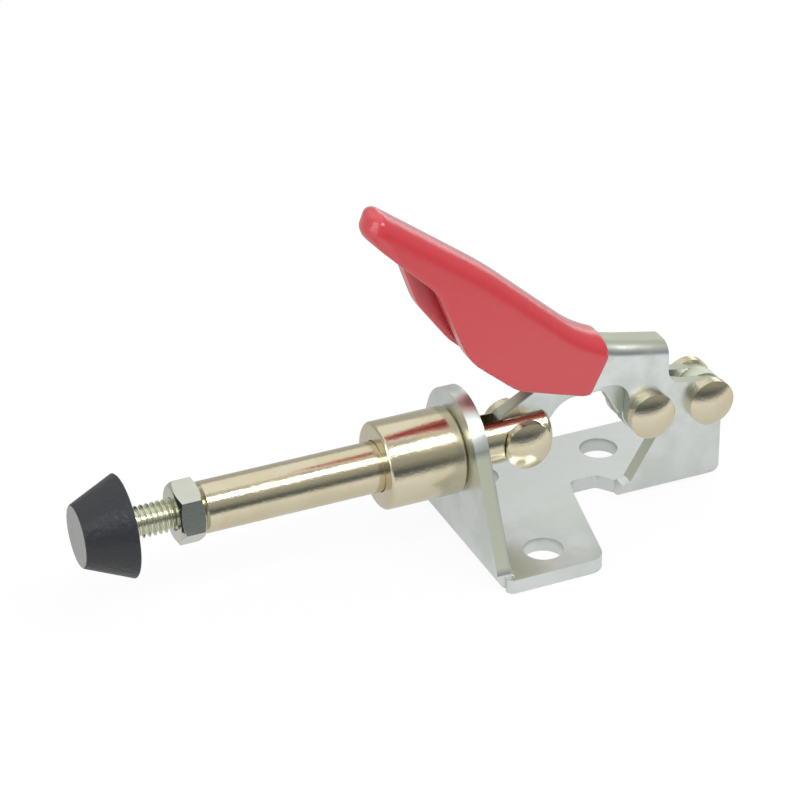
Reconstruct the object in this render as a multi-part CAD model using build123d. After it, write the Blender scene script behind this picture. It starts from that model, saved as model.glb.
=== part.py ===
from build123d import *
import math
import os

# Push-pull toggle clamp. Millimetres and degrees.
# The plunger lies along X, with its nose towards -X. Z is up, and z = 0 is the mounting face.
# The origin is midway between the two front mounting holes. Distances named "setback" run along +X
# from the front face of the upright tab.

# Sheets, fits and clearances
base_sheet = 1.9
link_sheet = 1.9
handle_sheet = 1.5
side_clearance = 0.05
running_clearance = 0.05
bend_inner = 0.45

# Base: front tab, plate and wall
axis_height = 13.2
half_width = 14.4
tab_radius = 7.7
ear_width = 1.0
ear_setback = 1.1
ear_edge = 0.1
flange_setback = 14.1
flange_root_setback = 17.2
flange_root_inset = 0.4
flange_corner = 2.3
neck_setback = 18.1
neck_end_setback = 21.8
neck_inset = 3.5
neck_corner = 1.0
wall_foot_setback = 23.4
wall_slope_setback = 24.5
wall_slope_rise = 0.3
wall_eye_radius = 2.9
wall_heel_radius = 2.0
plate_end_setback = 35.2
hole_diameter = 5.0
hole_setback = 8.1
hole_pitch = 17.1
hole_spread = 18.8

# Guide bush
bush_diameter = 11.0
bush_length = 10.1
bush_front_edge = 0.3
bush_rear_edge = 0.45
bush_spigot_diameter = 9.0

# Plunger
plunger_diameter = 6.35
plunger_nose = 33.0
plunger_end_setback = 12.5
plunger_edge = 0.5
slot_setback = 1.0
spot_face_depth = 0.65

# Spindle, jam nut and pad
spindle_diameter = 4.0
thread_clearance = 0.05
spindle_length = 25.0
spindle_head_height = 2.8
hex_across_flats = 7.0
nut_height = 3.2
nut_face_diameter = 6.6
nut_chamfer_angle = 30.0
nut_turn = 15.0
tapped_depth = 21.0
pad_gap = 5.95
pad_length = 5.9
pad_front_diameter = 7.8
pad_rear_diameter = 12.7
pad_face_thickness = 1.2
pad_edge = 0.15

# Pivots, all on the plunger axis when the clamp is locked
plunger_pivot_setback = 8.9
link_length = 17.15
crank_length = 8.3
rivet_diameter = 3.0
rivet_head_diameter = 6.1
rivet_head_height = 2.0
rivet_head_band = 1.15

# Link: an arch over the axis, with heights measured from the axis and reaches from the pivots
link_front_eye = 2.9
link_rear_eye = 3.1
link_brow = 3.3
link_brow_radius = 1.0
link_crown = 7.4
link_crown_reach = 4.5
link_crown_radius = 3.0
link_arch = 3.75
link_arch_front_reach = 5.9
link_arch_front_radius = 3.5
link_arch_front_slope = 3.0
link_arch_rear_reach = 5.75
link_arch_rear_radius = 1.2
link_arch_rear_slope = 2.1

# Handle: a folded channel, with outline points as (x, z) from the base pivot
channel_radius = 1.75
handle_front_eye = 2.9
handle_rear_eye = 2.7
web_rear = (-5.75, 9.2)
web_bend = (-16.5, 11.4)
web_crest = (-30.2, 23.7)
web_tip = (-44.2, 34.1)
web_bend_radius = 18.0
web_crest_radius = 60.0
tip_heel = (-45.05, 31.95)
knuckle_near = (-36.5, 23.6)
knuckle_far = (-39.5, 26.3)
finger_far = (-37.6, 20.6)
finger_near = (-32.5, 13.5)
finger_far_end = (-33.7, 15.2)
belly_front = (-26.35, 8.25)
belly_rear = (-17.7, 5.5)
throat = (-11.0, 5.05)
shoulder = (-3.3, 3.2)
shoulder_step = 4.0
blank_top = (-30.0, 25.3)

# Corner radii of the handle's outline
tip_radius = 1.1
tip_heel_radius = 1.0
tip_round = 3.0
tip_trim = 0.1
knuckle_near_radius = 8.0
knuckle_far_radius = 2.0
finger_near_radius = 8.0
finger_far_radius = 6.0
belly_front_radius = 5.0
belly_rear_radius = 3.0
throat_radius = 2.8
shoulder_radius = 6.0
shoulder_step_radius = 2.0

# Vinyl grip over the handle
coat = 0.6
coat_inside = 0.35
coat_open_front = -41.0
link_bay_front = -31.0
dip_low = (-17.0, 4.6)
dip_high = (-14.2, 10.0)
dip_crest = (-14.9, 12.4)
dip_radius = 3.0

# Worked out from the sizes above
bend_outer = bend_inner + base_sheet
tab_foot_half = half_width - ear_width
ear_corner = ear_width - ear_edge
tab_x = -hole_setback
plunger_radius = plunger_diameter / 2
pivot_p = tab_x + plunger_pivot_setback
pivot_a = pivot_p + link_length
pivot_b = pivot_a + crank_length
rivet_radius = rivet_diameter / 2
swivel_radius = rivet_radius + running_clearance
bay_half = max(base_sheet, link_sheet) / 2 + side_clearance
slot_width = max(base_sheet, link_sheet) + 4 * side_clearance
channel_half = bay_half + handle_sheet
nut_front = tab_x - plunger_nose - nut_height
spindle_head_front = nut_front - pad_gap - pad_length + pad_face_thickness
wall_face = base_sheet / 2
long_reach = 4 * half_width


def at(setback):
    """Gives the X of a distance behind the tab's front face."""
    return tab_x + setback


def rod(x0, x1, radius):
    """Makes a cylinder on the plunger axis from x0 to x1."""
    return Pos((x0 + x1) / 2, 0, axis_height) * Rot(0, 90, 0) * Cylinder(radius, x1 - x0)


def turned(profile):
    """Turns an outline, given as (x, radius) corners, about the plunger axis."""
    return Pos(0, 0, axis_height) * revolve(Plane.XZ * outline(profile), Axis.X)


def cross_pin(x, y0, y1, radius, z=axis_height):
    """Makes a cylinder along Y from y0 to y1."""
    return Pos(x, (y0 + y1) / 2, z) * Rot(90, 0, 0) * Cylinder(radius, y1 - y0)


def side_plate(face, y0, y1):
    """Thickens a face drawn in the XZ plane into a plate from y0 to y1."""
    return Pos(0, y1, 0) * extrude(Plane.XZ * face, y1 - y0)


def outline(points, radii=()):
    """Draws a polygon, given either way round, and rounds the corners that have a radius."""
    radii = list(radii) + [0] * (len(points) - len(radii))
    turns = zip(points, points[1:] + points[:1])
    if sum(a[0] * b[1] - b[0] * a[1] for a, b in turns) < 0:
        points, radii = points[::-1], radii[::-1]
    face = Polygon(*points)
    for point, radius in zip(points, radii):
        if radius:
            corner = face.vertices().sort_by_distance((point[0], point[1], 0))[0]
            face = fillet(corner, radius)
    return face


def disc(x, z, radius):
    """Draws a filled circle in the plane of a side outline."""
    return Pos(x, z) * Circle(radius)


def tangent_point(centre, radius, point, side):
    """Finds where the line from point touches a circle, on its left (1) or right (-1) side."""
    dx, dy = point[0] - centre[0], point[1] - centre[1]
    turn = math.atan2(dy, dx) + side * math.acos(radius / math.hypot(dx, dy))
    return centre[0] + radius * math.cos(turn), centre[1] + radius * math.sin(turn)


def base():
    """One stamped sheet: a tab bent up in front, a flanged plate and a wall bent up beside it."""
    foot = (tab_foot_half, bend_outer)
    top = tangent_point((0, axis_height), tab_radius, foot, 1)
    tab_face = Pos(0, axis_height) * Circle(tab_radius)
    tab_face += outline([(-foot[0], foot[1]), foot, top, (-top[0], top[1])])
    tab = extrude(Plane.YZ * tab_face, base_sheet)
    tab_bend = Pos(bend_outer, 0, bend_outer) * Rot(90, 0, 0) * (
        Cylinder(bend_outer, 2 * tab_foot_half) - Cylinder(bend_inner, 2 * tab_foot_half)
    )
    tab_bend &= Box(bend_outer, 2 * tab_foot_half, bend_outer, align=(Align.MIN, Align.CENTER, Align.MIN))
    front = Pos(tab_x, 0, 0) * (tab + tab_bend)

    wall_bend_y = bend_outer - wall_face
    points = [
        (at(bend_outer), -tab_foot_half),
        (at(ear_setback), -tab_foot_half),
        (at(ear_setback), -half_width),
        (at(flange_setback), -half_width),
        (at(flange_root_setback), flange_root_inset),
        (at(neck_setback), neck_inset),
        (at(neck_end_setback), neck_inset),
        (at(wall_foot_setback), wall_bend_y),
        (at(plate_end_setback), wall_bend_y),
        (at(plate_end_setback), half_width),
        (at(ear_setback), half_width),
        (at(ear_setback), tab_foot_half),
        (at(bend_outer), tab_foot_half),
    ]
    radii = [0, 0, ear_corner, flange_corner, 2 * neck_corner, neck_corner, neck_corner, 0, 0]
    radii += [flange_corner, ear_corner, 0, 0]
    plate = extrude(outline(points, radii), base_sheet)

    wall_end = pivot_b + wall_eye_radius
    slope_start = (at(wall_slope_setback), bend_outer + wall_slope_rise)
    slope_end = tangent_point((pivot_b, axis_height), wall_eye_radius, slope_start, -1)
    wall_outline = outline(
        [
            (at(wall_foot_setback), bend_outer),
            slope_start,
            slope_end,
            (pivot_b, axis_height),
            (wall_end, axis_height),
            (wall_end, bend_outer),
        ]
    )
    wall = side_plate(wall_outline + disc(pivot_b, axis_height, wall_eye_radius), -wall_face, wall_face)
    bend_length = wall_end - at(wall_foot_setback)
    wall_bend = Pos(at(wall_foot_setback) + bend_length / 2, wall_bend_y, bend_outer) * Rot(0, 90, 0) * (
        Cylinder(bend_outer, bend_length) - Cylinder(bend_inner, bend_length)
    )
    wall_bend &= Pos(at(wall_foot_setback), wall_bend_y, 0) * Box(
        bend_length, bend_outer, bend_outer, align=(Align.MIN, Align.MAX, Align.MIN)
    )
    heel_x = wall_end - wall_heel_radius
    heel = Pos(heel_x, 0, 0) * Box(
        long_reach, long_reach, wall_heel_radius, align=(Align.MIN, Align.CENTER, Align.MIN)
    ) - cross_pin(heel_x, -long_reach, long_reach, wall_heel_radius, wall_heel_radius)

    solid = front + plate + wall + wall_bend - heel
    for x, y in hole_centres():
        solid -= Pos(x, y, 0) * Cylinder(hole_diameter / 2, long_reach)
    solid -= rod(tab_x - long_reach, at(base_sheet) + base_sheet, bush_spigot_diameter / 2)
    return solid - cross_pin(pivot_b, -long_reach, long_reach, rivet_radius)


def hole_centres():
    """Lists the mounting holes: one in each front flange and one in the rear plate."""
    front, rear = at(hole_setback), at(hole_setback + hole_pitch)
    return [(front, -hole_spread / 2), (front, hole_spread / 2), (rear, hole_spread / 2)]


def guide_bush():
    """Guides the plunger: a turned barrel with a spigot staked into the tab."""
    front, radius = tab_x - bush_length, bush_diameter / 2
    bore, spigot = plunger_radius + running_clearance, bush_spigot_diameter / 2
    profile = [
        (front, bore),
        (front, radius - bush_front_edge),
        (front + bush_front_edge, radius),
        (tab_x - bush_rear_edge, radius),
        (tab_x, radius - bush_rear_edge),
        (tab_x, spigot),
        (at(base_sheet), spigot),
        (at(base_sheet), bore),
    ]
    return turned(profile)


def plunger():
    """A round bar, tapped in front, with a sawn slot and two spot faces for the link's rivet."""
    front, end = tab_x - plunger_nose, at(plunger_end_setback)
    solid = chamfer(rod(front, end, plunger_radius).edges().filter_by(GeomType.CIRCLE), plunger_edge)
    solid -= rod(front - long_reach, front + tapped_depth, spindle_diameter / 2 + thread_clearance)
    solid -= Pos(at(slot_setback), 0, axis_height) * Box(
        long_reach, slot_width, long_reach, align=(Align.MIN, Align.CENTER, Align.CENTER)
    )
    face_y = plunger_radius - spot_face_depth
    for side in (-1, 1):
        y0, y1 = sorted((side * face_y, side * plunger_diameter))
        solid -= cross_pin(pivot_p, y0, y1, rivet_head_diameter / 2 + 2 * side_clearance)
    return solid - cross_pin(pivot_p, -long_reach, long_reach, rivet_radius)


def hexagon(x0, height, turn):
    """Makes a hexagonal prism on the axis, turned about it."""
    face = RegularPolygon(hex_across_flats / 2, 6, major_radius=False, rotation=turn)
    return Pos(x0, 0, axis_height) * extrude(Plane.YZ * face, height)


def spindle():
    """The threaded spindle, with its hexagonal head inside the pad."""
    shank_start = spindle_head_front + spindle_head_height
    shank = rod(shank_start, shank_start + spindle_length, spindle_diameter / 2)
    tip = shank.edges().filter_by(GeomType.CIRCLE).sort_by(Axis.X)[-1]
    return hexagon(spindle_head_front, spindle_head_height, 0) + chamfer(tip, plunger_edge)


def jam_nut():
    """Locks the spindle against the front of the plunger."""
    bore, face = spindle_diameter / 2 + thread_clearance, nut_face_diameter / 2
    corner = hex_across_flats / math.sqrt(3)
    slope = (corner - face) * math.tan(math.radians(nut_chamfer_angle))
    rear = nut_front + nut_height
    profile = [
        (nut_front, bore),
        (nut_front, face),
        (nut_front + slope, corner),
        (rear - slope, corner),
        (rear, face),
        (rear, bore),
    ]
    return turned(profile) & hexagon(nut_front, nut_height, nut_turn)


def pad():
    """A rubber cone pressed over the spindle's head."""
    front = spindle_head_front - pad_face_thickness
    rear = front + pad_length
    profile = [
        (front, 0),
        (front, pad_front_diameter / 2 - pad_edge),
        (front + pad_edge, pad_front_diameter / 2),
        (rear - pad_edge, pad_rear_diameter / 2),
        (rear, pad_rear_diameter / 2 - pad_edge),
        (rear, 0),
    ]
    return turned(profile) - spindle()


def link():
    """Joins the plunger to the handle: a plate arched so that it clears the wall's eye."""
    diagonal = link_rear_eye * math.sqrt(0.5)
    outer = outline(
        [
            (pivot_p - link_front_eye, axis_height),
            (pivot_p - link_front_eye, axis_height + link_brow),
            (pivot_p + link_crown_reach, axis_height + link_crown),
            (pivot_a + 2 * diagonal - link_crown, axis_height + link_crown),
            (pivot_a + diagonal, axis_height + diagonal),
            (pivot_a, axis_height),
        ],
        [0, link_brow_radius, link_crown_radius, link_crown_radius],
    )
    foot = axis_height - link_arch
    front, rear = pivot_p + link_arch_front_reach, pivot_a - link_arch_rear_reach
    arch = outline(
        [
            (front - 2 * link_arch_front_slope, foot),
            (front, axis_height + link_arch),
            (rear, axis_height + link_arch),
            (rear + 2 * link_arch_rear_slope, foot),
        ],
        [0, link_arch_front_radius, link_arch_rear_radius],
    )
    eyes = disc(pivot_p, axis_height, link_front_eye) + disc(pivot_a, axis_height, link_rear_eye)
    solid = side_plate(outer - arch + eyes, -link_sheet / 2, link_sheet / 2)
    for x in (pivot_p, pivot_a):
        solid -= cross_pin(x, -link_sheet, link_sheet, swivel_radius)
    return solid


def from_b(point):
    """Turns a point measured from the base pivot into one in the part's frame."""
    return pivot_b + point[0], axis_height + point[1]


def beyond(start, end, times):
    """Carries the line from start to end on past its end."""
    return end[0] + times * (end[0] - start[0]), end[1] + times * (end[1] - start[1])


def channel(half, radius, drop):
    """Sweeps a deep bar with rounded shoulders along the top of the handle, lowered by drop."""
    bends = [beyond(web_crest, web_tip, 1), web_crest, web_bend, beyond(web_bend, web_rear, 2)]
    points = [(from_b(bend)[0], 0, from_b(bend)[1]) for bend in bends]
    path = FilletPolyline(*points, radius=[web_crest_radius, web_bend_radius])
    depth = 2 * axis_height
    corners = [(-half, -depth), (half, -depth), (half, -drop), (-half, -drop)]
    section = outline(corners, [0, 0, radius, radius])
    return sweep(Plane(origin=path @ 0, x_dir=(0, 1, 0), z_dir=path % 0) * section, path=path)


def lobe(knuckle, finger):
    """Draws one side of the handle. Behind the tip it passes above the web, which is cut later.

    The knuckle and finger are lists of (corner, radius) in front of the belly.
    """
    corners = [
        (tip_heel, tip_heel_radius),
        (web_tip, tip_radius),
        (blank_top, 0),
        ((web_rear[0], blank_top[1]), 0),
        ((web_rear[0], shoulder_step), shoulder_step_radius),
        (shoulder, shoulder_radius),
        ((0, handle_rear_eye), 0),
        ((0, -handle_rear_eye), 0),
        ((-crank_length, -handle_front_eye), 0),
        ((-crank_length - handle_front_eye, 0), 0),
        (throat, throat_radius),
        (belly_rear, belly_rear_radius),
        (belly_front, belly_front_radius),
    ]
    corners += finger + knuckle
    face = outline([from_b(corner) for corner, _ in corners], [radius for _, radius in corners])
    face += disc(*from_b((0, 0)), handle_rear_eye)
    return face + disc(*from_b((-crank_length, 0)), handle_front_eye)


def tip_bar(grow):
    """Makes a bar with a round end, seen along the tip's end, to round the tip from above."""
    heel, top = from_b(tip_heel), from_b(web_tip)
    rise = (top[0] - heel[0], top[1] - heel[1])
    across, along = (-rise[1], 0, rise[0]), (rise[0], 0, rise[1])
    seen_from_tip = Plane(origin=(top[0], 0, top[1]), x_dir=across, z_dir=along)
    radius = tip_round + grow
    centre = -tip_trim - tip_round
    plan = Pos(centre, 0) * Circle(radius)
    plan += Pos(centre - long_reach, 0) * Rectangle(2 * long_reach, 2 * radius)
    return extrude(seen_from_tip * plan, long_reach, both=True)


def lobes(half, grow):
    """Makes both sides of the handle as solid halves, grown outwards by the coat when asked."""
    near = lobe([(knuckle_near, knuckle_near_radius)], [(finger_near, finger_near_radius)])
    far = lobe(
        [(knuckle_far, knuckle_far_radius)],
        [(finger_far_end, finger_far_radius), (finger_far, finger_far_radius)],
    )
    if grow:
        near = offset(near, grow)
        far = offset(far, grow)
    bar = tip_bar(grow)
    return (side_plate(near, -half, 0) & bar) + (side_plate(far, 0, half) & bar)


def handle():
    """The handle: one sheet folded into a channel, with two lobes reaching down to the pivots."""
    outer = channel(channel_half, channel_radius, 0)
    inner = channel(bay_half, 0, handle_sheet)
    solid = (lobes(channel_half, 0) & outer) - inner
    solid -= cross_pin(pivot_b, -long_reach, long_reach, swivel_radius)
    return solid - cross_pin(pivot_a, -long_reach, long_reach, rivet_radius)


def behind(x):
    """Makes a block that fills everything behind x."""
    return Pos(x, 0, 0) * Box(
        2 * long_reach, long_reach, 4 * long_reach, align=(Align.MIN, Align.CENTER, Align.CENTER)
    )


def grip():
    """The dipped vinyl coat: closed at the tip, and clear of the link's bay behind."""
    half = channel_half + coat
    outer = channel(half, channel_radius + coat, -coat)
    solid = (lobes(half, coat) & outer) - handle()
    bay = channel(bay_half, 0, handle_sheet)
    slit = channel(bay_half - coat_inside, 0, handle_sheet + coat_inside)
    solid -= bay & behind(pivot_b + link_bay_front)
    solid -= slit & behind(pivot_b + coat_open_front)
    low, high, crest = from_b(beyond(dip_high, dip_low, 2)), from_b(dip_high), from_b(dip_crest)
    rear = high[0] + long_reach
    waste = outline([low, high, crest, (rear, crest[1]), (rear, low[1])], [0, dip_radius])
    return solid - side_plate(waste, -long_reach, long_reach)


def rivet_head(x, side, seat):
    """Makes one domed rivet head, standing on a face at y = side * seat."""
    dome_height = rivet_head_height - rivet_head_band
    head_radius = rivet_head_diameter / 2
    dome_radius = (head_radius**2 + dome_height**2) / (2 * dome_height)
    y0, y1 = sorted((side * seat, side * (seat + rivet_head_height)))
    centre_y = side * (seat + rivet_head_height - dome_radius)
    return cross_pin(x, y0, y1, head_radius) & (Pos(x, centre_y, axis_height) * Sphere(dome_radius))


def handle_rivet(x):
    """Makes a rivet through the handle, with a head on each side."""
    shank = cross_pin(x, -channel_half, channel_half, rivet_radius)
    return shank + rivet_head(x, -1, channel_half) + rivet_head(x, 1, channel_half)


def plunger_rivet():
    """Makes the link's rivet in the plunger. Its shank stops at the slot, where the link lies."""
    seat = plunger_radius - spot_face_depth
    halves = []
    for side in (-1, 1):
        y0, y1 = sorted((side * slot_width / 2, side * seat))
        halves.append(cross_pin(pivot_p, y0, y1, rivet_radius) + rivet_head(pivot_p, side, seat))
    return Compound(halves)


pieces = {
    "base": base(),
    "bush": guide_bush(),
    "plunger": plunger(),
    "spindle": spindle(),
    "jam_nut": jam_nut(),
    "pad": pad(),
    "link": link(),
    "handle": handle(),
    "grip": grip(),
    "rivet_base": handle_rivet(pivot_b),
    "rivet_link": handle_rivet(pivot_a),
    "rivet_plunger": plunger_rivet(),
}

os.makedirs("parts", exist_ok=True)
for node, shape in pieces.items():
    export_step(shape, f"parts/{node}.step")
    print(node, round(shape.volume, 1))
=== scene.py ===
# %% [markdown]
# # A push-pull toggle clamp
# A small workshop clamp. A red-coated handle folds over a link, and the link drives a round
# plunger through a guide bush. The engineering model gives every size and every moving body.
# This file dresses it: it adds the screw thread and the soft vinyl coat, rounds the stamped
# edges, and gives each metal its own finish.
#
# Lengths are in metres, so a millimetre is 0.001. X runs from the rubber pad back to the pivots,
# Y runs away from the camera's side, and Z runs up from the face that is screwed down.

# %% Load the engineering model
import math
import bmesh
import bpy
from mathutils import Matrix, Vector


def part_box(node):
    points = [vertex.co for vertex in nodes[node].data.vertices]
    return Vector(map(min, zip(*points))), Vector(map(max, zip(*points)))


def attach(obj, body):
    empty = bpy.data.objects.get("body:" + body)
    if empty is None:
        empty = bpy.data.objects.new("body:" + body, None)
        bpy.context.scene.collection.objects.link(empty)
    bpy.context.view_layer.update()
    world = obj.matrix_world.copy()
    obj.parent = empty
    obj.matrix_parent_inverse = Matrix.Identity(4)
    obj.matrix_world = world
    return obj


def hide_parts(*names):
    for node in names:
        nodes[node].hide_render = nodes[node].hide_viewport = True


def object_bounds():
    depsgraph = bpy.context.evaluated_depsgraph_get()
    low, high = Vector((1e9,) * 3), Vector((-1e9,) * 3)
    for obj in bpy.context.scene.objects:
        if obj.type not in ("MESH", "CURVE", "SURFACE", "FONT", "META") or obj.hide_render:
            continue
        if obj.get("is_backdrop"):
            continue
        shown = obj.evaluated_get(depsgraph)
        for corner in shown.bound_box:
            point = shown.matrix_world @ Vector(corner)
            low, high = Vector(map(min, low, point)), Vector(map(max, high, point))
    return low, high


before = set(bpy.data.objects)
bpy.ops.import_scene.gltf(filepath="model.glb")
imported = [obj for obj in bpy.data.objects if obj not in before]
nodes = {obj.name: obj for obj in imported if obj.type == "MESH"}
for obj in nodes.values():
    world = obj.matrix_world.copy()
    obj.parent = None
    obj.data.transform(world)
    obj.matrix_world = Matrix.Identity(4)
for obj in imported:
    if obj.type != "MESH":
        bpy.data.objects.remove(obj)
model_low, model_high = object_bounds()
scene = bpy.context.scene

# %% [markdown]
# ## Camera
# A short lens close by would swell the pad and shrink the pivots behind it. A long lens further
# off keeps both ends of the plunger nearly the same size, so the camera has a long one. It looks
# down from the front left and leans by about a degree. The plain "Standard" view keeps white
# paper white, where a film-like view would turn it grey.

# %% Camera
camera_place = (-0.128393, -0.269866, 0.188452)
camera_turn = (60.3255, 0.9471, -23.3696)
camera_data = bpy.data.cameras.new("camera")
camera = bpy.data.objects.new("camera", camera_data)
scene.collection.objects.link(camera)
camera_data.lens = 126.0
camera_data.sensor_width = 36.0
camera_data.clip_start = 0.01
camera.location = camera_place
camera.rotation_euler = tuple(math.radians(angle) for angle in camera_turn)
scene.camera = camera
scene.view_settings.view_transform = "Standard"
print("camera with a lens of", camera_data.lens, "mm at", camera_place)

# %% [markdown]
# ## Floor
# The clamp stands on a sheet of white paper. One large square does, since its far edge is lost in
# a white room. It lies a hair below the base's underside: two faces at exactly the same height
# would flicker where they are seen from below.

# %% Floor
floor_half = 1.5
floor_gap = 0.00005
floor_mesh = bpy.data.meshes.new("floor")
bm = bmesh.new()
bmesh.ops.create_grid(bm, x_segments=1, y_segments=1, size=floor_half)
bmesh.ops.translate(bm, vec=(0, 0, -floor_gap), verts=bm.verts)
bm.to_mesh(floor_mesh)
bm.free()
floor = bpy.data.objects.new("floor", floor_mesh)
scene.collection.objects.link(floor)
floor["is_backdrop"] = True
print("floor", [round(v, 2) for v in floor.dimensions])

# %% [markdown]
# ## Tools for shader nodes
# A material is a tree of nodes, each linked from an output to the next one's input. Adding and
# setting every node by hand takes four or five lines a time. These small functions each add one
# kind of node and give back its result. An input takes a plain number, or a link when it is
# handed another node's output.

# %% Tools that work out one value
def feed(tree, value, socket):
    """Puts a plain value into a socket, or links another node's output to it."""
    if isinstance(value, bpy.types.NodeSocket):
        tree.links.new(value, socket)
    else:
        socket.default_value = value


def scalar_math(tree, operation, *values):
    """Adds a Math node, with its inputs in order."""
    node = tree.nodes.new("ShaderNodeMath")
    node.operation = operation
    for value, socket in zip(values, node.inputs):
        feed(tree, value, socket)
    return node.outputs[0]


def remap(tree, value, low, high, to_low=0.0, to_high=1.0, ease="LINEAR"):
    """Stretches a value, so that low becomes to_low and high becomes to_high."""
    node = tree.nodes.new("ShaderNodeMapRange")
    node.interpolation_type = ease
    ends = {"Value": value, "From Min": low, "From Max": high, "To Min": to_low, "To Max": to_high}
    for socket, end in ends.items():
        feed(tree, end, node.inputs[socket])
    return node.outputs["Result"]


print("tools", [tool.__name__ for tool in (feed, scalar_math, remap)])

# %% Tools for places and colours
def split_axes(tree, vector):
    """Splits a vector and gives its outputs, named X, Y and Z."""
    node = tree.nodes.new("ShaderNodeSeparateXYZ")
    tree.links.new(vector, node.inputs[0])
    return node.outputs


def colour_ramp(tree, value, *stops):
    """Turns a value into a colour. Each stop is (value, colour), from low to high."""
    node = tree.nodes.new("ShaderNodeValToRGB")
    tree.links.new(value, node.inputs[0])
    marks = node.color_ramp.elements
    marks[0].position, marks[1].position = stops[0][0], stops[1][0]
    for place, _ in stops[2:]:
        marks.new(place)
    for mark, (_, colour) in zip(marks, stops):
        mark.color = (*colour, 1)
    return node.outputs["Color"]


def over_for_ray(tree, ray, share, under, over):
    """Lays one shader over another for one kind of ray, by the given share."""
    path = tree.nodes.new("ShaderNodeLightPath")
    mix = tree.nodes.new("ShaderNodeMixShader")
    tree.links.new(scalar_math(tree, "MULTIPLY", path.outputs[ray], share), mix.inputs["Fac"])
    tree.links.new(under.outputs[0], mix.inputs[1])
    tree.links.new(over.outputs[0], mix.inputs[2])
    return mix


print("tools", [tool.__name__ for tool in (split_axes, colour_ramp, over_for_ray)])

# %% [markdown]
# ## Paper
# A plain white material would come out grey, and lamps strong enough to whiten it would burn out
# the clamp. So the sheet answers three kinds of ray. The camera sees white with a little of the
# real shading, which keeps a soft contact shadow. Mirrored rays see a table top that is bright
# just in front of the clamp and ends in the dark of the room further out, which gives the metal
# its dark lines. All other rays see plain paper.

# %% Paper
def new_material(name):
    """Makes a material, and gives its node tree and its main shader too."""
    material = bpy.data.materials.new(name)
    material.use_nodes = True
    tree = material.node_tree
    surface = tree.nodes["Principled BSDF"]
    return material, tree, surface


paper, tree, surface = new_material("paper")
surface.inputs["Base Color"].default_value = (0.9, 0.9, 0.9, 1)
surface.inputs["Roughness"].default_value = 0.9
floor_mesh.materials.append(paper)
print("paper on", floor.name)

# %% [markdown]
# The table's colours run along Y: from the dark well in front of the clamp, through a bright band
# just in front of it, to a middle grey behind it.

# %% Paper: what the metal and the camera see
dark_room = (0.08, 0.10, 0.115)
table_front, table_back = -0.2, 0.2
mirrored_share, seen_share = 0.85, 0.92
where = tree.nodes.new("ShaderNodeTexCoord")
depth = remap(tree, split_axes(tree, where.outputs["Object"])["Y"], table_front, table_back)
table_colour = colour_ramp(
    tree, depth,
    (0.20, dark_room), (0.40, (1.0, 1.0, 1.0)), (0.50, (0.72, 0.72, 0.71)), (0.62, (0.50, 0.51, 0.50)),
)
table = tree.nodes.new("ShaderNodeEmission")
white = tree.nodes.new("ShaderNodeEmission")
tree.links.new(table_colour, table.inputs["Color"])
mirrored = over_for_ray(tree, "Is Glossy Ray", mirrored_share, surface, table)
seen = over_for_ray(tree, "Is Camera Ray", seen_share, mirrored, white)
tree.links.new(seen.outputs[0], tree.nodes["Material Output"].inputs["Surface"])
print("table from", table_front, "to", table_back, "in", len(tree.nodes), "nodes")

# %% [markdown]
# ## Room
# Plated metal shows mostly what stands round it. An evenly white room would make it look like
# plaster, and a modelled room is a lot of work for a few streaks of light. A ramp is enough: dark
# behind the camera, and brighter towards the far side and the ceiling. The camera itself sees
# pure white.

# %% Room
ceiling_share = 0.8
world = bpy.data.worlds.new("room")
scene.world = world
world.use_nodes = True
tree = world.node_tree
sky = tree.nodes["Background"]
backdrop = tree.nodes.new("ShaderNodeBackground")
backdrop.inputs["Color"].default_value = (1, 1, 1, 1)
# In a world, Generated holds the direction of the ray, from -1 to 1 along each axis.
where = tree.nodes.new("ShaderNodeTexCoord")
axes = split_axes(tree, where.outputs["Generated"])
far_side = remap(tree, axes["Y"], -1.0, 1.0)
brightness = scalar_math(tree, "MULTIPLY_ADD", axes["Z"], ceiling_share, far_side)
room_colour = colour_ramp(
    tree, brightness, (0.06, dark_room), (0.36, (0.40, 0.40, 0.38)), (0.90, (0.52, 0.52, 0.51))
)
tree.links.new(room_colour, sky.inputs["Color"])
seen = over_for_ray(tree, "Is Camera Ray", 1.0, sky, backdrop)
tree.links.new(seen.outputs[0], tree.nodes["World Output"].inputs["Surface"])
print("room lit by", sky.inputs["Strength"].default_value)

# %% [markdown]
# ## Lamps
# A bare bulb makes one small hot spot on a round bar. A long soft box draws a clean bright band
# along it instead, which is how turned metal is usually lit. The key lamp is long and narrow and
# hangs in front. The other three are broader and open up the shadows.

# %% Lamps
def soft_box(name, place, size, power, target=(0.0, 0.0, 0.012)):
    """Hangs a rectangular lamp and aims it at the middle of the clamp."""
    data = bpy.data.lights.new(name, "AREA")
    data.shape = "RECTANGLE"
    data.size, data.size_y = size
    data.energy = power
    lamp = bpy.data.objects.new(name, data)
    scene.collection.objects.link(lamp)
    lamp.location = place
    aim = Vector(target) - Vector(place)
    lamp.rotation_euler = aim.to_track_quat("-Z", "Y").to_euler()


soft_box("key", place=(0.05, -0.35, 0.55), size=(0.9, 0.16), power=2.9)
soft_box("left", place=(-0.6, -0.05, 0.25), size=(0.3, 0.4), power=0.9)
soft_box("top", place=(0.0, 0.3, 0.7), size=(1.2, 0.9), power=1.8)
soft_box("right", place=(0.5, 0.42, 0.16), size=(0.5, 0.25), power=0.4)

# %% [markdown]
# ## Node groups
# Several finishes share an effect: every metal has a fine grain, for instance. Copying its nodes
# into each material would mean mending each copy later. A node group is built once and placed
# where it is needed, with its own values each time. In this version of Blender its sockets
# belong to the group's interface.

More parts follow.
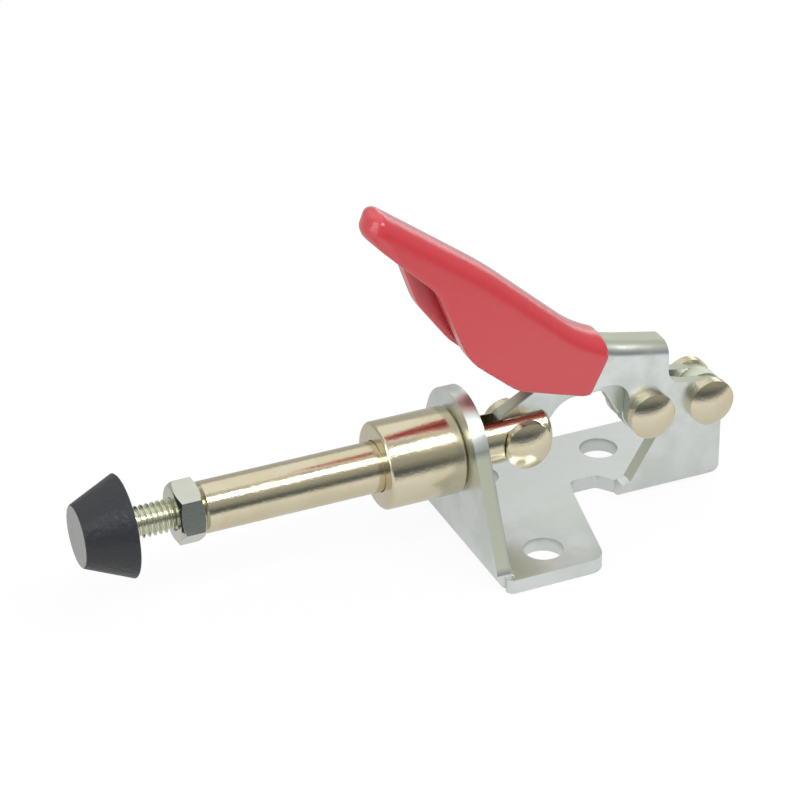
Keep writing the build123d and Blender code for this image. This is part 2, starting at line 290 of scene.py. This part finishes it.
# %% Node group tools
def new_group(name, inputs, outputs):
    """Makes an empty group. Inputs are (name, kind, value) and outputs are (name, kind)."""
    group = bpy.data.node_groups.new(name, "ShaderNodeTree")
    for socket, kind, value in inputs:
        made = group.interface.new_socket(socket, in_out="INPUT", socket_type=kind)
        made.default_value = value
    for socket, kind in outputs:
        group.interface.new_socket(socket, in_out="OUTPUT", socket_type=kind)
    start = group.nodes.new("NodeGroupInput")
    end = group.nodes.new("NodeGroupOutput")
    return group, start, end


def use_group(tree, group, **values):
    """Places a group in a tree with its own values."""
    node = tree.nodes.new("ShaderNodeGroup")
    node.node_tree = group
    for socket, value in values.items():
        node.inputs[socket].default_value = value
    return node


print("tools", [tool.__name__ for tool in (new_group, use_group)])

# %% [markdown]
# ## Fine grain
# Rolled sheet, moulded rubber and dipped vinyl all have a faint roughness that the eye can just
# make out. Real relief would need millions of faces. A bump gives the same play of light: it
# tilts the shading by a noise and leaves the shape alone. Depth 1 stands for 0.05 mm.

# %% Grain group
full_depth = 0.00005
grain, start, end = new_group(
    "fine grain",
    [("Size", "NodeSocketFloat", 2500.0), ("Depth", "NodeSocketFloat", 0.1)],
    [("Normal", "NodeSocketVector")],
)
where = grain.nodes.new("ShaderNodeTexCoord")
noise = grain.nodes.new("ShaderNodeTexNoise")
noise.inputs["Detail"].default_value = 3
bump = grain.nodes.new("ShaderNodeBump")
relief = scalar_math(grain, "MULTIPLY", start.outputs["Depth"], full_depth)
grain.links.new(where.outputs["Object"], noise.inputs["Vector"])
grain.links.new(start.outputs["Size"], noise.inputs["Scale"])
grain.links.new(relief, bump.inputs["Distance"])
grain.links.new(noise.outputs["Fac"], bump.inputs["Height"])
grain.links.new(bump.outputs["Normal"], end.inputs["Normal"])
print("group", grain.name)

# %% [markdown]
# ## Plating patches
# A plated surface is never one colour. The bath leaves areas a few millimetres wide that are a
# little yellower and duller than the rest. An image wrapped round the folded parts would show its
# seams. A soft noise read in the part's own space has none. The stretch between From and To turns
# it into a mask with soft borders.

# %% Patches group
patches, start, end = new_group(
    "plating patches",
    [
        ("Size", "NodeSocketFloat", 160.0),
        ("From", "NodeSocketFloat", 0.42),
        ("To", "NodeSocketFloat", 0.62),
    ],
    [("Mask", "NodeSocketFloat")],
)
where = patches.nodes.new("ShaderNodeTexCoord")
noise = patches.nodes.new("ShaderNodeTexNoise")
noise.inputs["Detail"].default_value = 4
noise.inputs["Roughness"].default_value = 0.6
patches.links.new(where.outputs["Object"], noise.inputs["Vector"])
patches.links.new(start.outputs["Size"], noise.inputs["Scale"])
mask = remap(
    patches, noise.outputs["Fac"], start.outputs["From"], start.outputs["To"], ease="SMOOTHSTEP"
)
patches.links.new(mask, end.inputs["Mask"])
print("group", patches.name)

# %% [markdown]
# ## Sheared edges
# The sheets are stamped. Their broad faces keep the smooth skin of the mill, and the cut edges
# are torn, duller and yellower. One could pick the edge faces and give them a second material,
# but the model's triangles have no names. This group finds the edges by itself. Inside a box from
# Low to High, it marks every face that doesn't look along Skin, the direction of the sheet's
# thickness.

# %% Sheared edge group: its sockets
sheared, start, end = new_group(
    "sheared edge",
    [
        ("Low", "NodeSocketVector", (-1, -1, -1)),
        ("High", "NodeSocketVector", (1, 1, 1)),
        ("Skin", "NodeSocketVector", (0, 1, 0)),
    ],
    [("Mask", "NodeSocketFloat")],
)
print("group", sheared.name)

# %% [markdown]
# How deep a point lies inside the box is its smallest distance to any of the six sides. It is
# negative outside. The mask fades in over a soft border, so no hard line shows on the metal.

# %% Sheared edge group: inside the box
def vector_math(tree, operation, first, second):
    """Adds a Vector Math node. Its result is the output Vector or Value."""
    node = tree.nodes.new("ShaderNodeVectorMath")
    node.operation = operation
    tree.links.new(first, node.inputs[0])
    tree.links.new(second, node.inputs[1])
    return node.outputs


soft_border = 0.0008
where = sheared.nodes.new("ShaderNodeTexCoord")
above = vector_math(sheared, "SUBTRACT", where.outputs["Object"], start.outputs["Low"])["Vector"]
below = vector_math(sheared, "SUBTRACT", start.outputs["High"], where.outputs["Object"])["Vector"]
nearest = split_axes(sheared, vector_math(sheared, "MINIMUM", above, below)["Vector"])
least = scalar_math(sheared, "MINIMUM", nearest["X"], nearest["Y"])
least = scalar_math(sheared, "MINIMUM", least, nearest["Z"])
inside_box = remap(sheared, least, 0.0, soft_border)
print("border of", soft_border)

# %% [markdown]
# The dot product of a face's normal and the skin's direction is 1 or -1 on the skin and 0 on a
# cut edge. Its size without the sign tells them apart, and the two masks are multiplied.

# %% Sheared edge group: faces on edge
faces_skin, faces_edge = 0.85, 0.45
facing = vector_math(sheared, "DOT_PRODUCT", where.outputs["Normal"], start.outputs["Skin"])
along_skin = scalar_math(sheared, "ABSOLUTE", facing["Value"])
on_edge = remap(sheared, along_skin, faces_skin, faces_edge, ease="SMOOTHSTEP")
sheared.links.new(scalar_math(sheared, "MULTIPLY", inside_box, on_edge), end.inputs["Mask"])
print("group", sheared.name, "with", len(sheared.nodes), "nodes")

# %% [markdown]
# ## Metals
# All the metal is steel under a thin plating. A separate material built by hand for each piece
# would soon drift apart from the others, so one recipe serves them all: a metallic surface whose
# colour and polish change a little from patch to patch, over a fine grain.

# %% Metal recipe
def blend(tree, share, first, second, kind="FLOAT"):
    """Mixes two numbers, or two colours when kind is RGBA."""
    node = tree.nodes.new("ShaderNodeMix")
    node.data_type = kind
    for socket, value in {"Factor": share, "A": first, "B": second}.items():
        feed(tree, value, node.inputs[socket])
    return node.outputs["Result"]


def metal(name, colour, patch_colour, roughness, patch_roughness, depth, size=2500.0):
    """Makes a plated metal. Depth and size are those of its grain."""
    material, tree, surface = new_material(name)
    surface.inputs["Metallic"].default_value = 1.0
    mask = use_group(tree, patches).outputs["Mask"]
    tint = blend(tree, mask, (*colour, 1), (*patch_colour, 1), "RGBA")
    polish = remap(tree, mask, 0.0, 1.0, roughness, patch_roughness)
    bumps = use_group(tree, grain, Size=size, Depth=depth)
    tree.links.new(tint, surface.inputs["Base Color"])
    tree.links.new(polish, surface.inputs["Roughness"])
    tree.links.new(bumps.outputs["Normal"], surface.inputs["Normal"])
    return material


print("recipe", metal.__name__)

# %% [markdown]
# The sheets then get their sheared edges. The recipe finds what already feeds the colour and the
# roughness, and puts a mix in between: the plain look where the mask is 0, and the torn edge
# where it is 1.

# %% Sheared edge recipe
def shear(material, edge_colour, edge_roughness, *places):
    """Gives the sheared edges of a sheet their own look. Each place is (low, high, skin)."""
    tree = material.node_tree
    surface = tree.nodes["Principled BSDF"]
    mask = 0.0
    for low, high, skin in places:
        edge = use_group(tree, sheared, Low=low, High=high, Skin=skin)
        mask = scalar_math(tree, "MAXIMUM", mask, edge.outputs["Mask"])
    looks = (("Base Color", (*edge_colour, 1), "RGBA"), ("Roughness", edge_roughness, "FLOAT"))
    for name, edge_look, kind in looks:
        plain = surface.inputs[name].links[0].from_socket
        tree.links.new(blend(tree, mask, plain, edge_look, kind), surface.inputs[name])
    return material


print("recipe", shear.__name__)

# %% [markdown]
# ## Plated sheets
# The base, link and handle are stamped sheet with a bluish white zinc. The link and the handle's two
# cheeks face sideways, so one box round the whole part does. It takes the handle's narrow folded top
# for an edge too, and there the darker edge colour is painted shade, standing in for the darker
# reflection on the top's bend. The base is bent: its skin faces forward on the tab and sideways on the
# wall, so each of them has a box of its own, and the flat plate below them keeps its skin.

# %% Plated sheets
zinc_look = {
    "colour": (0.73, 0.76, 0.745), "patch_colour": (0.67, 0.71, 0.68),
    "roughness": 0.28, "patch_roughness": 0.38, "depth": 0.25,
}
edge_roughness = 0.5
forward, sideways = (1, 0, 0), (0, 1, 0)
beyond = 1
above_plate = 0.0024
tab_rear, tab_shoulder = -0.0058, 0.0162
wall_front, wall_side = 0.009, 0.0016
whole_part = ((-beyond, -beyond, -beyond), (beyond, beyond, beyond), sideways)
tab_edges = ((-beyond, -beyond, above_plate), (tab_rear, beyond, tab_shoulder), forward)
wall_edges = ((wall_front, -wall_side, above_plate), (beyond, wall_side, beyond), sideways)
# The link and handle get a darker edge colour than the base: the torn edges' own tone, plus painted
# shade on the handle's folded top.
folded_zinc = shear(metal("folded_zinc", **zinc_look), (0.50, 0.53, 0.43), edge_roughness, whole_part)
base_zinc = shear(
    metal("base_zinc", **zinc_look), (0.70, 0.73, 0.60), edge_roughness, tab_edges, wall_edges
)
print("sheets", folded_zinc.name, base_zinc.name)

# %% [markdown]
# ## Turned and bought parts
# The bush, plunger and rivets are nickel plated: warmer, darker and much more polished than the
# sheets, so their reflections stay sharp. The spindle and its nut are a bought screw and
# nut, with a faintly yellow zinc. The thread scatters more light than the nut's flats, so it is
# yellower and a little rougher.

# %% Turned and bought parts
nickel = metal(
    "nickel", colour=(0.68, 0.62, 0.46), patch_colour=(0.66, 0.59, 0.42),
    roughness=0.16, patch_roughness=0.21, depth=0.35, size=3000.0,
)
thread_zinc = metal(
    "thread_zinc", colour=(0.70, 0.71, 0.58), patch_colour=(0.64, 0.64, 0.48),
    roughness=0.26, patch_roughness=0.34, depth=0.2,
)
bolt_zinc = metal(
    "bolt_zinc", colour=(0.60, 0.62, 0.56), patch_colour=(0.58, 0.59, 0.50),
    roughness=0.13, patch_roughness=0.20, depth=0.12,
)
print("metals", [m.name for m in (nickel, thread_zinc, bolt_zinc)])

# %% [markdown]
# ## Rubber
# The pad is moulded black rubber with a coarse satin grain. Its flat front is painted a light grey:
# painted light, for the light that this face catches from the lamp on its left. It is the only face
# that looks straight forward, so its normal picks it out.

# %% Rubber
black_rubber, painted_lit_rubber = (0.017, 0.019, 0.024, 1), (0.27, 0.27, 0.265, 1)
painted_light_starts, painted_light_full = -0.8, -0.95
rubber, tree, surface = new_material("rubber")
surface.inputs["Roughness"].default_value = 0.42
bumps = use_group(tree, grain, Size=1500.0, Depth=2.5)
where = tree.nodes.new("ShaderNodeTexCoord")
# Painted light: the face that looks forward is coloured light grey for the light it catches.
painted_light_mask = remap(tree, split_axes(tree, where.outputs["Normal"])["X"], painted_light_starts, painted_light_full)
tint = blend(tree, painted_light_mask, black_rubber, painted_lit_rubber, "RGBA")
tree.links.new(bumps.outputs["Normal"], surface.inputs["Normal"])
tree.links.new(tint, surface.inputs["Base Color"])
print("made", rubber.name)

# %% [markdown]
# ## Vinyl
# The handle was dipped in liquid vinyl. Its colour lies under a clear, glossy skin that is never
# quite flat. A single glossy surface would make the red itself look like paint. The Coat of
# the main shader is that clear skin, and only the skin gets the slow waves of the grain.

# %% Vinyl
vinyl, tree, surface = new_material("vinyl")
surface.inputs["Base Color"].default_value = (0.56, 0.026, 0.038, 1)
surface.inputs["Roughness"].default_value = 0.42
surface.inputs["Coat Weight"].default_value = 1.0
surface.inputs["Coat Roughness"].default_value = 0.14
bumps = use_group(tree, grain, Size=700.0, Depth=1.6)
tree.links.new(bumps.outputs["Normal"], surface.inputs["Coat Normal"])
print("made", vinyl.name, "materials", len(bpy.data.materials))

# %% [markdown]
# ## Screw thread
# The spindle is a hexagon-headed screw, and the model has it as a plain rod. A striped bump could
# fake its thread, but the rod's outline would stay straight, and here the teeth show against a
# white background. So the thread is real. One tooth's outline is repeated along the rod, and all
# of it is spun once round the axis while it moves along by one pitch.

# %% Thread: sizes
spindle_low, spindle_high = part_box("spindle")
axis_height = (spindle_low.z + spindle_high.z) / 2
head_height, neck_length = 0.0028, 0.0025
thread_pitch, crest, root = 0.0007, 0.00199, 0.00157
thread_start = spindle_low.x + head_height + neck_length
thread_end = spindle_high.x
tooth = [(0.0, root), (0.22, root), (0.56, crest), (0.68, crest)]
spare_turns = 2
turns = math.ceil((thread_end - thread_start) / thread_pitch) + spare_turns
print("thread of", turns, "turns, from", round(thread_start, 5), "to", round(thread_end, 5))

# %% Thread: one outline, spun while it moves along
round_steps = 48
same_point = 1e-6
bm = bmesh.new()
corners = []
for turn in range(turns):
    for share, radius in tooth:
        x = thread_start + (turn - 1 + share) * thread_pitch
        corners.append(bm.verts.new((x, 0, axis_height + radius)))
edges = [bm.edges.new(pair) for pair in zip(corners, corners[1:])]
bmesh.ops.spin(
    bm, geom=corners + edges, cent=(0, 0, axis_height), axis=(1, 0, 0),
    dvec=(thread_pitch / round_steps, 0, 0), angle=math.tau, steps=round_steps, use_duplicate=False,
)
bmesh.ops.remove_doubles(bm, verts=bm.verts, dist=same_point)
print("thread corners", len(bm.verts))

# %% [markdown]
# A spun thread ends in a step at both ends. A clean screw is cut off square, so two planes trim
# it, and the holes that they leave are filled. A closed shell also tells Blender which side of
# each face is the outside.

# %% Thread: square ends
def cut(bm, place, outward):
    """Cuts away what lies beyond a plane, and gives the open edges that are left."""
    everything = bm.verts[:] + bm.edges[:] + bm.faces[:]
    bmesh.ops.bisect_plane(bm, geom=everything, plane_co=place, plane_no=outward, clear_outer=True)
    return [edge for edge in bm.edges if edge.is_boundary]


for x, side in ((thread_start, -1), (thread_end, 1)):
    rims = cut(bm, (x, 0, 0), (side, 0, 0))
bmesh.ops.holes_fill(bm, edges=rims, sides=0)
bmesh.ops.recalc_face_normals(bm, faces=bm.faces)
print("thread", len(bm.verts), "boundary", sum(e.is_boundary for e in bm.edges))

# %% [markdown]
# In front of the thread are the plain neck and the hexagon head inside the pad. Both are cones
# with equal ends: one with many sides, and one with six.

# %% Thread: neck and head
lay = Matrix.Rotation(math.radians(90), 4, "Y")
head_sides = 6
corner_radius = (spindle_high.y - spindle_low.y) / 2
for start, length, radius, sides in (
    (spindle_low.x + head_height, neck_length, root, round_steps),
    (spindle_low.x, head_height, corner_radius, head_sides),
):
    middle = (start + length / 2, 0, axis_height)
    bmesh.ops.create_cone(
        bm, cap_ends=True, segments=sides, radius1=radius, radius2=radius, depth=length,
        matrix=Matrix.Translation(middle) @ lay,
    )
print("with neck and head", len(bm.verts))

# %% [markdown]
# The finished mesh becomes an object that rides the spindle's body. It replaces the plain rod, and
# its flanks are shaded smooth up to the angle where a real edge should stay.

# %% Thread: into the scene
def add_object(name, bm, material, body, slot, *replaced):
    """Makes a piece that rides a body, has a material slot and stands in for model nodes. The slot
    argument is not used.
    """
    mesh = bpy.data.meshes.new(name)
    bm.to_mesh(mesh)
    bm.free()
    mesh.materials.append(material)
    piece = bpy.data.objects.new(name, mesh)
    scene.collection.objects.link(piece)
    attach(piece, body)
    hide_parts(*replaced)
    return piece


def millimetres(lengths):
    """Turns metres into rounded millimetres for the printed lines."""
    return [round(1000 * length, 2) for length in lengths]


sharp_edge = 30
thread = add_object("thread", bm, thread_zinc, "spindle", "zinc_bolt", "spindle")
for face in thread.data.polygons:
    face.use_smooth = True
thread.data.set_sharp_from_angle(angle=math.radians(sharp_edge))
print("thread", millimetres(thread.dimensions), "rod", millimetres(spindle_high - spindle_low))

# %% [markdown]
# ## Vinyl coat
# The coat is a skin about half a millimetre thick, closed at the handle's tip and open behind.
# The model has it with knife-sharp edges, and dipped vinyl has none. A bevel would fail on its
# many small triangles. So the vinyl and the steel inside it are wrapped together in one even skin
# of voxels, and smoothing rounds that skin as surface tension rounds the liquid.
#
# First comes a copy of the steel inside. The vinyl reaches back only as far as a slanting dip
# line, so the steel is cut off just short of that line.

# %% Vinyl coat: the steel inside
def clean_copy(node):
    """Copies a model node's mesh and joins its loose triangles."""
    bm = bmesh.new()
    bm.from_mesh(node.data)
    bmesh.ops.remove_doubles(bm, verts=bm.verts, dist=same_point)
    return bm


dip_low, dip_high, dip_crest = (0.00925, 0.0178), (0.01205, 0.0232), (0.01135, 0.0256)
inset = Vector((-0.0003, 0, 0))
core = clean_copy(nodes["handle"])
for start, end in ((dip_low, dip_high), (dip_high, dip_crest)):
    along = Vector((end[0] - start[0], 0, end[1] - start[1]))
    rearward = Vector((along.z, 0, -along.x)).normalized()
    rims = cut(core, Vector((start[0], 0, start[1])) + inset, rearward)
    bmesh.ops.triangle_fill(core, use_beauty=True, use_dissolve=False, edges=rims)
print("core open edges", sum(e.is_boundary for e in core.edges))

# %% [markdown]
# ## The coat's nose
# Vinyl drips off the tip as the handle leaves the bath, and sets there as a thick, round nose.
# Smoothing alone would leave it square. The nose is shaped like a file shapes a corner: flat
# cuts, each touching the round form, turned a little from one to the next. From above they
# follow an arc. From the side they follow a small round on top and a larger one below.

# %% Vinyl coat: directions and rounds of the nose
nose_heel, nose_top = Vector((-0.0188, 0, 0.04515)), Vector((-0.01795, 0, 0.0473))
nose_up = (nose_top - nose_heel).normalized()
across = Vector((0, 1, 0))
nose_ahead = nose_up.cross(across)
nose_plan, nose_depth = 0.0036, 0.00285
nose_centre = nose_top - nose_ahead * nose_depth
# Each round is (radius, its centre's drop below the top, lean of its first and last plane).
nose_rounds = ((0.0015, 0.0012, 10, 100), (0.0026, 0.00105, -45, 0))
plan_limit, turn_step = 60, 15
steepest_aside = 30
print("nose points", [round(v, 3) for v in nose_ahead])

# %% [markdown]
# The steepest cuts from below stay near the middle. Further to the side they would run down
# through the coat's two lobes and lay the steel bare.

# %% Vinyl coat: file the nose
def lean_over(first, second, degrees):
    """Turns the first direction towards the second."""
    return first * math.cos(math.radians(degrees)) + second * math.sin(math.radians(degrees))


bm = clean_copy(nodes["grip"])
cuts = 0
for plan_turn in range(-plan_limit, plan_limit + 1, turn_step):
    outward = lean_over(nose_ahead, across, plan_turn)
    for radius, drop, first, last in nose_rounds:
        for lean in range(first, last, turn_step):
            if lean < -steepest_aside and abs(plan_turn) > steepest_aside:
                continue
            normal = lean_over(outward, nose_up, lean)
            touch = nose_centre - nose_up * drop + outward * (nose_plan - radius) + normal * radius
            rims = cut(bm, touch, normal)
            if rims:
                bmesh.ops.holes_fill(bm, edges=rims, sides=0)
                cuts += 1
print("nose cuts", cuts, "open edges", sum(e.is_boundary for e in bm.edges))

# %% [markdown]
# ## One soft skin
# The steel and the vinyl go into one mesh and become the coat, which rides the handle and
# replaces the model's sharp-edged grip. Three modifiers finish it. Remesh wraps both in one skin
# of small squares, Smooth rounds every edge, and Displace gives back the thickness that the
# smoothing took.

# %% Vinyl coat: into the scene
inside = bpy.data.meshes.new("core")
core.to_mesh(inside)
core.free()
bm.from_mesh(inside)
bpy.data.meshes.remove(inside)
bmesh.ops.recalc_face_normals(bm, faces=bm.faces)
coat = add_object("vinyl_coat", bm, vinyl, "handle", "vinyl", "grip")
print("coat before its modifiers", len(coat.data.polygons))

# %% Vinyl coat: wrap, round and swell
skin_square = 0.00018
skin_swell = 0.00008
shrink = coat.modifiers.new("one skin", "REMESH")
shrink.mode = "VOXEL"
shrink.voxel_size = skin_square
shrink.use_smooth_shade = True
relax = coat.modifiers.new("soft edges", "SMOOTH")
relax.factor = 0.5
relax.iterations = 14
swell = coat.modifiers.new("full thickness", "DISPLACE")
swell.strength = skin_swell
swell.mid_level = 0.0
counted = coat.evaluated_get(bpy.context.evaluated_depsgraph_get())
print("coat faces", len(counted.data.polygons), millimetres(counted.dimensions))

# %% [markdown]
# ## Finish on every node
# The rest of the clamp is the model's own. Each node gets the finish of its real piece: zinc for
# what was stamped and for the screw and nut, nickel for what was turned, and rubber or vinyl for
# the soft pieces. A mesh keeps a list of materials and draws with the first, so the list is
# cleared before the finish goes in.

# %% Finish the nodes
finishes = {
    "base": base_zinc, "link": folded_zinc, "handle": folded_zinc,
    "bush": nickel, "plunger": nickel,
    "rivet_base": nickel, "rivet_link": nickel, "rivet_plunger": nickel,
    "spindle": bolt_zinc, "jam_nut": bolt_zinc, "pad": rubber, "grip": vinyl,
}
for name, finish in finishes.items():
    node = nodes[name]
    node.data.materials.clear()
    node.data.materials.append(finish)
print("finished", len(finishes), "nodes")

# %% [markdown]
# ## Rounded edges
# No edge on the real clamp is sharp: the stamping tool and the plating bath round every one, and
# that thin round catches the light. A bevel makes it, but the model's meshes are loose triangles,
# and a bevel needs joined faces. So Weld joins them, Decimate turns the triangles of each flat
# into one face, and only then does Bevel round what is steeper than a set angle. The stamped
# sheets get the widest rounds, and the crisp turned pieces the narrowest.

# %% Rounded edges
weld_reach = 5e-6
flat_within = math.radians(0.5)
edge_from = math.radians(35)
round_widths = {"base": 0.00025, "handle": 0.0002, "link": 0.0002, "jam_nut": 0.0001, "bush": 0.0001}
for name, width in round_widths.items():
    node = nodes[name]
    weld = node.modifiers.new("weld", "WELD")
    weld.merge_threshold = weld_reach
    flats = node.modifiers.new("whole flats", "DECIMATE")
    flats.decimate_type = "DISSOLVE"
    flats.angle_limit = flat_within
    bevel = node.modifiers.new("bevel", "BEVEL")
    bevel.width = width
    bevel.segments = 2
    bevel.limit_method = "ANGLE"
    bevel.angle_limit = edge_from
    counted = node.evaluated_get(bpy.context.evaluated_depsgraph_get())
    print("softened", name, len(node.data.polygons), "->", len(counted.data.polygons))

# %% [markdown]
# ## Measure and finish
# The dressed clamp has to fill the same box as the engineering model. Both boxes are printed in
# millimetres, so that they can be compared.

# %% Measure and finish
low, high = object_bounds()
print("model", millimetres(b - a for a, b in zip(model_low, model_high)))
print("visual", millimetres(b - a for a, b in zip(low, high)))
